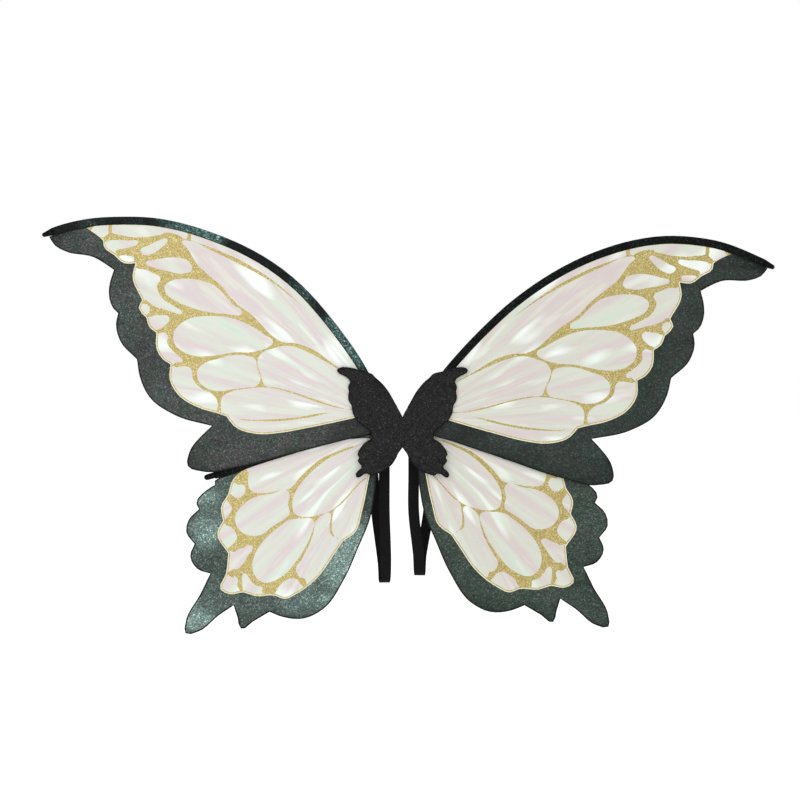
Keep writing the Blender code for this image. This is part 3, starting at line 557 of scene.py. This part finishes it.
def ripple(point, angle, reach, sign):
    """How far free film stands out at a point: ribs that fan out from the root, and crumples."""
    wander = noise.noise(Vector((angle * WANDER_TURNS, reach / WANDER_LENGTH, sign)))
    ribs = math.sin(angle * RIBS + RIB_WANDER * wander)
    ribs += FINE_SHARE * math.sin(angle * FINE_RIBS + reach / FINE_SLANT + FINE_PHASE * sign)
    crumple = noise.noise(Vector((point.x / CRUMPLE, point.y / CRUMPLE, CRUMPLE_SEED + sign)))
    return RIPPLE * (RIB_SHARE * (ribs + RIB_BASE)
                     + CRUMPLE_SHARE * max(0.0, crumple + CRUMPLE_BASE))


def new_object(name, mesh):
    """An object for a mesh, in the scene."""
    obj = bpy.data.objects.new(name, mesh)
    bpy.context.collection.objects.link(obj)
    return obj


def make_film(label, side, mats):
    """A rippled film sheet whose faces are film, gold vein or pale edge band."""
    node = frame["nodes"]["film_%s_%s" % (label, side)]
    loops, level, _ = outlines_of(node)
    outline = resample(loops[0], CELL_STEP)
    fine = resample(outline, FINE_STEP)
    edge = Near(fine)
    rod = frame["nodes"]["rod_%s_%s" % (label, side)].data
    along = [Vector((v.co.x, v.co.z)) / MM for v in rod.vertices]
    at_rod = Near(resample(along + along[::-1], ROD_STEP))
    hem = Near([p for p in fine if at_rod(p) > HEM_FROM_ROD])
    cells = film_cells(label, side, edge, hem)
    boxes = [box_of(cell) for cell in cells]
    verts, faces = film_triangles(outline, cells, edge)
    kept = []
    slots = []
    for face in faces:
        middle = sum((verts[i] for i in face), Vector((0, 0))) / len(face)
        if inside(middle, outline):
            kept.append(face)
            slots.append(film_slot(middle, cells, boxes, hem))
    sign = SIDES[side]
    root = Vector((FILM_ROOT[0] * sign, FILM_ROOT[1]))
    co = []
    polar = []
    for v in verts:
        arm = v - root
        angle = math.atan2(arm.y, arm.x * sign)
        bend = ease(edge(v) / FADE) * ripple(v, angle, arm.length, sign)
        co.append((v.x * MM, (level - bend) * MM, v.y * MM))
        polar.append((angle, arm.length / POLAR_LENGTH))
    mesh = bpy.data.meshes.new("film")
    mesh.from_pydata(co, [], kept)
    for mat in mats:
        mesh.materials.append(mat)
    layer = mesh.uv_layers.new(name="polar")
    for polygon, slot in zip(mesh.polygons, slots):
        polygon.material_index = slot
        polygon.use_smooth = True
        for loop_index in polygon.loop_indices:
            layer.data[loop_index].uv = polar[mesh.loops[loop_index].vertex_index]
    if sum(p.normal.y for p in mesh.polygons) > 0:
        mesh.flip_normals()
    obj = new_object("film_sheet_%s_%s" % (label, side), mesh)
    solid = obj.modifiers.new("thickness", "SOLIDIFY")
    solid.thickness = FILM_THICK * MM
    solid.offset = -1
    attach(obj, "%s_wing_%s" % (label, side))
    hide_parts(node.name)
    polygon_area(outline) * MM * MM


def make_binding(name, material, width, gap_at_middle=0.0):
    """A dark rolled edge round a flat node's outer outline, left open near the middle if asked."""
    loops, front, back = outlines_of(frame["nodes"][name])
    loop = loops[0]
    outer = inset(loop, -EDGE_PROUD)
    inner = inset(loop, width)
    keep = list(range(len(loop)))
    closed = gap_at_middle == 0.0
    if not closed:
        wanted = [abs(p.x) > gap_at_middle for p in loop]
        start = next(i for i in keep if wanted[i] and not wanted[i - 1])
        keep = [i for i in keep[start:] + keep[:start] if wanted[i]]
    count = len(keep)
    low = front - EDGE_RISE
    high = back + EDGE_RISE
    verts = []
    for ring, level in ((outer, low), (inner, low), (inner, high), (outer, high)):
        verts += [(ring[i].x * MM, level * MM, ring[i].y * MM) for i in keep]
    faces = []
    for ring in range(4):
        here = ring * count
        after = (ring + 1) % 4 * count
        for i in range(count if closed else count - 1):
            j = (i + 1) % count
            faces.append((here + i, here + j, after + j, after + i))
    if not closed:
        faces.append(tuple(ring * count for ring in range(4)))
        faces.append(tuple(ring * count + count - 1 for ring in (3, 2, 1, 0)))
    mesh = bpy.data.meshes.new("binding")
    mesh.from_pydata(verts, [], faces)
    mesh.materials.append(material)
    obj = new_object("binding_" + name, mesh)
    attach(obj, body_of_node[name])


def soft_copy(name, material, wider=0.0):
    """A smooth-shaded copy of a CAD node that stands for it, drawn wider if asked."""
    mesh = frame["nodes"][name].data.copy()
    obj = new_object("look_" + name, mesh)
    mesh.materials.clear()
    mesh.materials.append(material)
    weld = obj.modifiers.new("weld", "WELD")
    weld.merge_threshold = WELD_WITHIN
    bpy.context.view_layer.update()
    graph = bpy.context.evaluated_depsgraph_get()
    welded = bpy.data.meshes.new_from_object(obj.evaluated_get(graph))
    obj.modifiers.clear()
    obj.data = welded
    for polygon in welded.polygons:
        polygon.use_smooth = True
    welded.set_sharp_from_angle(angle=SHARP)
    for vertex in welded.vertices:
        vertex.co += Vector((vertex.normal.x, 0, vertex.normal.z)) * wider * MM
    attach(obj, body_of_node[name])
    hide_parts(name)


def make_pad(name, material):
    """A stuffed pad: flat on its plate, crowned towards the wearer, with one sewn channel."""
    loops, front, back = outlines_of(frame["nodes"][name])
    loop = resample(loops[0], PAD_STEP)
    centre = sum(loop, Vector((0, 0))) / len(loop)
    rings = [(1 - PAD_TUCK, front), (1.0, front + PAD_TUCK * (back - front))]
    for i in range(PAD_RINGS):
        share = 1 - i / PAD_RINGS
        channel = PAD_CHANNEL * math.exp(-(((share - PAD_SEAM) / PAD_SEAM_WIDTH) ** 2))
        rings.append((share, back - PAD_CROWN * share ** 4 - channel))
    verts = []
    for share, level in rings:
        for point in loop:
            place = centre + (point - centre) * share
            verts.append((place.x * MM, level * MM, place.y * MM))
    count = len(loop)
    faces = []
    for ring in range(len(rings) - 1):
        below = ring * count
        above = below + count
        for i in range(count):
            j = (i + 1) % count
            faces.append((below + i, below + j, above + j, above + i))
    faces.append(tuple(reversed(range(count))))
    last = len(verts) - count
    faces += [(last + i, last + (i + 1) % count, len(verts)) for i in range(count)]
    verts.append((centre.x * MM, back * MM, centre.y * MM))
    mesh = bpy.data.meshes.new("pad")
    mesh.from_pydata(verts, [], faces)
    mesh.materials.append(material)
    for polygon in mesh.polygons:
        polygon.use_smooth = True
    mesh.validate()
    if mesh.polygons[-1].normal.y < 0:
        mesh.flip_normals()
    obj = new_object("look_" + name, mesh)
    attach(obj, body_of_node[name])
    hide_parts(name)


def linear(r, g, b):
    """A display colour, 0 to 255, as linear values."""
    return tuple(((c / 255 + 0.055) / 1.055) ** 2.4 if c > 10 else c / 255 / 12.92
                 for c in (r, g, b))


def linear_stops(tones):
    """Ramp stops from display colours."""
    return [(position, linear(*rgb)) for position, rgb in tones]


def new_material(name):
    """A material with its node tree and its shader."""
    material = bpy.data.materials.new(name)
    material.use_nodes = True
    tree = material.node_tree
    return material, tree, tree.nodes["Principled BSDF"]


def add(tree, kind, **values):
    """A new shader node with its settings."""
    node = tree.nodes.new(kind)
    for key, value in values.items():
        setattr(node, key, value)
    return node


def ramp(tree, stops, source):
    """A colour that follows a level through the stops."""
    node = add(tree, "ShaderNodeValToRGB")
    while len(node.color_ramp.elements) < len(stops):
        node.color_ramp.elements.new(0.5)
    for element, (position, rgb) in zip(node.color_ramp.elements, stops):
        element.position = position
        element.color = (*rgb, 1)
    tree.links.new(source, node.inputs["Fac"])
    return node.outputs["Color"]


def object_place(tree):
    """The place on the object, in metres."""
    return add(tree, "ShaderNodeTexCoord").outputs["Object"]


def scaled(tree, place, scale):
    """A place stretched along each axis."""
    node = add(tree, "ShaderNodeMapping")
    node.inputs["Scale"].default_value = scale
    tree.links.new(place, node.inputs["Vector"])
    return node.outputs["Vector"]


def noise_level(tree, place, scale, detail):
    """The level of a noise at a place."""
    node = add(tree, "ShaderNodeTexNoise")
    node.inputs["Scale"].default_value = scale
    node.inputs["Detail"].default_value = detail
    tree.links.new(place, node.inputs["Vector"])
    return node.outputs["Fac"]


def wave_level(tree, place, direction, scale, distortion):
    """The level of parallel bands at a place."""
    node = add(tree, "ShaderNodeTexWave", bands_direction=direction)
    node.inputs["Scale"].default_value = scale
    node.inputs["Distortion"].default_value = distortion
    tree.links.new(place, node.inputs["Vector"])
    return node.outputs["Fac"]


def joined(tree, operation, first, second):
    """Two levels added or multiplied."""
    node = add(tree, "ShaderNodeMath", operation=operation)
    tree.links.new(first, node.inputs[0])
    tree.links.new(second, node.inputs[1])
    return node.outputs["Value"]


def surface(tree, shader, colour, roughness, shine, metallic=0.0):
    """Gives a shader its colour and gloss."""
    tree.links.new(colour, shader.inputs["Base Color"])
    shader.inputs["Roughness"].default_value = roughness
    shader.inputs["Specular IOR Level"].default_value = shine
    shader.inputs["Metallic"].default_value = metallic


def relief(tree, shader, height, strength, depth_mm):
    """Gives a shader its bumps."""
    bump = add(tree, "ShaderNodeBump")
    bump.inputs["Strength"].default_value = strength
    bump.inputs["Distance"].default_value = depth_mm * MM
    tree.links.new(height, bump.inputs["Height"])
    tree.links.new(bump.outputs["Normal"], shader.inputs["Normal"])


def film_material(name, tint_and_shade):
    """Pearly film with streaks and painted highlights that fan out from the wing's root."""

    # The side's tint scales every colour; on the right it also paints shade.
    def shade(rgb):
        return tuple(c * share for c, share in zip(linear(*rgb), tint_and_shade))

    material, tree, shader = new_material(name)
    polar = add(tree, "ShaderNodeUVMap", uv_map="polar").outputs["UV"]
    pearl = noise_level(tree, scaled(tree, polar, (9.0, 1.3, 1.0)), scale=1.6, detail=3.0)
    colour = ramp(tree, [(position, shade(rgb)) for position, rgb in FILM_TONES], pearl)
    # Painted highlights: the colour goes towards near-white where this noise is high.
    gleam = noise_level(tree, scaled(tree, polar, (7.0, 3.2, 1.0)), scale=1.5, detail=1.0)
    mix = add(tree, "ShaderNodeMix", data_type="RGBA")
    tree.links.new(ramp(tree, GLEAM_SHARE, gleam), mix.inputs["Factor"])
    tree.links.new(colour, mix.inputs["A"])
    mix.inputs["B"].default_value = (*shade(FILM_GLEAM), 1)
    surface(tree, shader, mix.outputs["Result"], roughness=0.28, shine=0.6)
    shader.inputs["Coat Weight"].default_value = 0.5
    shader.inputs["Coat Roughness"].default_value = 0.15
    folds = noise_level(tree, scaled(tree, polar, (26.0, 2.2, 1.0)), scale=1.4, detail=4.0)
    relief(tree, shader, folds, strength=0.35, depth_mm=3.0)
    return material


def drifting(tree, place, colour, tones, spots):
    """A colour whose tone drifts over the piece and changes at the spots."""
    level = noise_level(tree, place, scale=DRIFT_SCALE, detail=2.0)
    for x, z, radius, change in spots:
        away = add(tree, "ShaderNodeVectorMath", operation="DISTANCE")
        tree.links.new(place, away.inputs[0])
        away.inputs[1].default_value = (x * MM, BORDER_Y * MM, z * MM)
        lift = add(tree, "ShaderNodeMapRange", interpolation_type="SMOOTHSTEP")
        lift.inputs["From Min"].default_value = radius * MM
        lift.inputs["From Max"].default_value = 0.0
        lift.inputs["To Max"].default_value = change
        tree.links.new(away.outputs["Value"], lift.inputs["Value"])
        level = joined(tree, "ADD", level, lift.outputs["Result"])
    mix = add(tree, "ShaderNodeMix", data_type="RGBA", blend_type="MULTIPLY")
    mix.inputs["Factor"].default_value = 1.0
    tree.links.new(colour, mix.inputs["A"])
    tree.links.new(ramp(tree, tones, level), mix.inputs["B"])
    return mix.outputs["Result"]


def glitter_material(name, stops, fleck_mm, roughness, tones=(), spots=(), metallic=0.0,
                     depth_mm=0.15, shine=0.5):
    """Small random flecks, whose tone may also drift slowly over the piece."""
    material, tree, shader = new_material(name)
    place = object_place(tree)
    flecks = add(tree, "ShaderNodeTexVoronoi")
    flecks.inputs["Scale"].default_value = 1 / (fleck_mm * MM)
    tree.links.new(place, flecks.inputs["Vector"])
    split = add(tree, "ShaderNodeSeparateColor")
    tree.links.new(flecks.outputs["Color"], split.inputs["Color"])
    colour = ramp(tree, stops, split.outputs["Red"])
    if tones:
        colour = drifting(tree, place, colour, tones, spots)
    surface(tree, shader, colour, roughness, shine, metallic)
    relief(tree, shader, split.outputs["Green"], strength=0.4, depth_mm=depth_mm)
    return material


def border_material(name, level, tones, spots):
    """Glitter fabric, with its flecks about one brightness."""
    middle = linear(*level)
    stops = [(position, tuple(min(1.0, c * share) for c in middle)) for position, share in FLECKS]
    return glitter_material(name, stops, fleck_mm=1.4, roughness=0.55, tones=tones, spots=spots,
                            depth_mm=0.1, shine=0.25)


def grained_material(name, rgb, roughness, metallic=0.0, shine=0.5, grain_mm=1.0, spread=0.2,
                     stretch=(1.0, 1.0, 1.0)):
    """A moulded, cast or coated surface: fine grain in its tone and its relief."""
    material, tree, shader = new_material(name)
    place = scaled(tree, object_place(tree), stretch)
    grain = noise_level(tree, place, scale=1 / (grain_mm * MM), detail=4.0)
    dark = tuple(c * (1 - spread) for c in rgb)
    light = tuple(min(1.0, c * (1 + spread)) for c in rgb)
    colour = ramp(tree, [(0.35, dark), (0.65, light)], grain)
    surface(tree, shader, colour, roughness, shine, metallic)
    relief(tree, shader, grain, strength=0.3, depth_mm=0.08)
    return material


def woven_material(name, low, high, rib_scale, thread_scale):
    """Fine cloth: ribs across it, broken up by its lengthwise threads."""
    material, tree, shader = new_material(name)
    place = object_place(tree)
    ribs = wave_level(tree, place, "Z", rib_scale, distortion=1.0)
    threads = wave_level(tree, place, "X", thread_scale, distortion=0.5)
    weave = joined(tree, "MULTIPLY", ribs, threads)
    colour = ramp(tree, [(0.05, low), (0.7, high)], weave)
    surface(tree, shader, colour, roughness=0.8, shine=0.12)
    relief(tree, shader, weave, strength=0.5, depth_mm=0.3)
    return material


def make_floor():
    """A pale floor that runs out to the horizon."""
    half = FLOOR_HALF
    corners = [(-half, -half), (half, -half), (half, half), (-half, half)]
    mesh = bpy.data.meshes.new("floor")
    mesh.from_pydata([(x, y, FLOOR_Z) for x, y in corners], [], [(0, 1, 2, 3)])
    material, _, shader = new_material("floor")
    shader.inputs["Base Color"].default_value = (FLOOR_GREY, FLOOR_GREY, FLOOR_GREY, 1)
    shader.inputs["Roughness"].default_value = 0.9
    shader.inputs["Specular IOR Level"].default_value = 0.05
    shader.inputs["Emission Color"].default_value = (1, 1, 1, 1)
    shader.inputs["Emission Strength"].default_value = FLOOR_GLOW
    mesh.materials.append(material)
    new_object("floor", mesh)


def area_lamp(name, place, side, power):
    """A square lamp that shines at the origin."""
    data = bpy.data.lights.new(name, "AREA")
    data.shape = "RECTANGLE"
    data.size = side
    data.size_y = side
    data.energy = power
    lamp = new_object(name, data)
    lamp.location = place
    lamp.rotation_euler = (-Vector(place)).to_track_quat("-Z", "Y").to_euler()


for old in list(bpy.data.objects):
    bpy.data.objects.remove(old)

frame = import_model()
body_of_node = {}
for body, members in frame["record"]["behaviour"]["bodies"].items():
    for member in members:
        body_of_node[member] = body

band = grained_material("film_edge", linear(*PALE_BAND), roughness=0.35, grain_mm=2.5,
                        spread=0.07)
borders = {name: border_material("border_" + name, *look) for name, look in BORDERS.items()}
felt = glitter_material("cover_felt", linear_stops(FELT_TONES), fleck_mm=1.2, roughness=0.8,
                        shine=0.08)
black_cloth = glitter_material("casing_cloth", linear_stops(CASING_TONES), fleck_mm=1.2,
                               roughness=0.8, shine=0.1)
# Painted highlights along the upper left casing, where its cloth is drawn bright.
gleams = [(x, z, CASING_GLEAM_R, PAINTED_HIGHLIGHT) for x, z in CASING_GLEAMS]
teal_cloth_painted_gleams = glitter_material("casing_cloth_teal_painted_gleams", linear_stops(TEAL_TONES), fleck_mm=1.4,
                              roughness=0.7, tones=TEAL_DRIFT, spots=gleams, shine=0.2)
dark_edge = grained_material("dark_edge", linear(21, 25, 23), roughness=0.7, shine=0.15,
                             spread=0.3)
black_edge = grained_material("black_edge", linear(21, 21, 21), roughness=0.8, shine=0.1,
                              spread=0.3)
elastic = woven_material("elastic", linear(5, 5, 5), linear(27, 27, 27), rib_scale=260.0,
                         thread_scale=380.0)
pad_cloth = woven_material("pad_cloth", linear(17, 17, 18), linear(52, 52, 54), rib_scale=210.0,
                           thread_scale=210.0)
black_plastic = grained_material("black_plastic", linear(22, 22, 23), roughness=0.42,
                                 grain_mm=0.7)
steel = grained_material("steel", (0.55, 0.55, 0.56), roughness=0.35, metallic=1.0, grain_mm=0.6,
                         spread=0.12, stretch=(1.0, 1.0, 5.0))

for side in SIDES:
    film = film_material("film_" + side, FILM_TINTS_AND_SHADE[side])
    gold_stops = linear_stops(zip(GOLD_STOPS, GOLD_TONES[side]))
    gold = glitter_material("gold_glitter_" + side, gold_stops, fleck_mm=0.9, roughness=0.45,
                            metallic=0.15)
    for label in PLACES:
        make_film(label, side, [film, gold, band])
        make_binding("border_%s_%s" % (label, side), dark_edge, BORDER_EDGE)
    make_binding("cover_" + side, black_edge, COVER_EDGE, COVER_WAIST_X)

# Materials of the pieces that are drawn at their CAD size, by the first word of the name.
MATERIALS = {
    "cover": felt, "strap": elastic, "rod": black_plastic, "socket": black_plastic,
    "back": black_plastic, "root": black_plastic, "pivot": black_plastic,
    "upper": steel, "lower": steel, "rivet": steel, "fold": steel,
}
for name in frame["nodes"]:
    kind = name.split("_")[0]
    if kind == "film":
        continue
    if kind == "border":
        soft_copy(name, borders[name[len("border_"):]])
    elif name == "back_pad":
        make_pad(name, pad_cloth)
    elif kind == "casing":
        cloth = teal_cloth_painted_gleams if name == "casing_upper_left" else black_cloth
        soft_copy(name, cloth, CASING_WIDER)
    elif name.startswith("rod_cap"):
        soft_copy(name, black_cloth, CAP_WIDER)
    elif name == "cover_waist":
        soft_copy(name, felt, WAIST_WIDER)
    else:
        soft_copy(name, MATERIALS[kind])

make_floor()
for lamp in LAMPS:
    area_lamp(*lamp)

world = bpy.data.worlds.new("world")
world.use_nodes = True
background = world.node_tree.nodes["Background"]
background.inputs["Color"].default_value = (1, 1, 1, 1)
background.inputs["Strength"].default_value = 1.0
bpy.context.scene.world = world

camera_data = bpy.data.cameras.new("camera")
camera_data.sensor_width = SENSOR
camera_data.lens = SENSOR * (DISTANCE - WING_DEPTH) / VIEW_WIDTH
camera = new_object("camera", camera_data)
camera.location = (VIEW_CENTRE[0], -DISTANCE, VIEW_CENTRE[1])
camera.rotation_euler = (math.pi / 2, 0, 0)
scene = bpy.context.scene
scene.camera = camera
scene.view_settings.view_transform = "Standard"
scene.view_settings.look = "None"
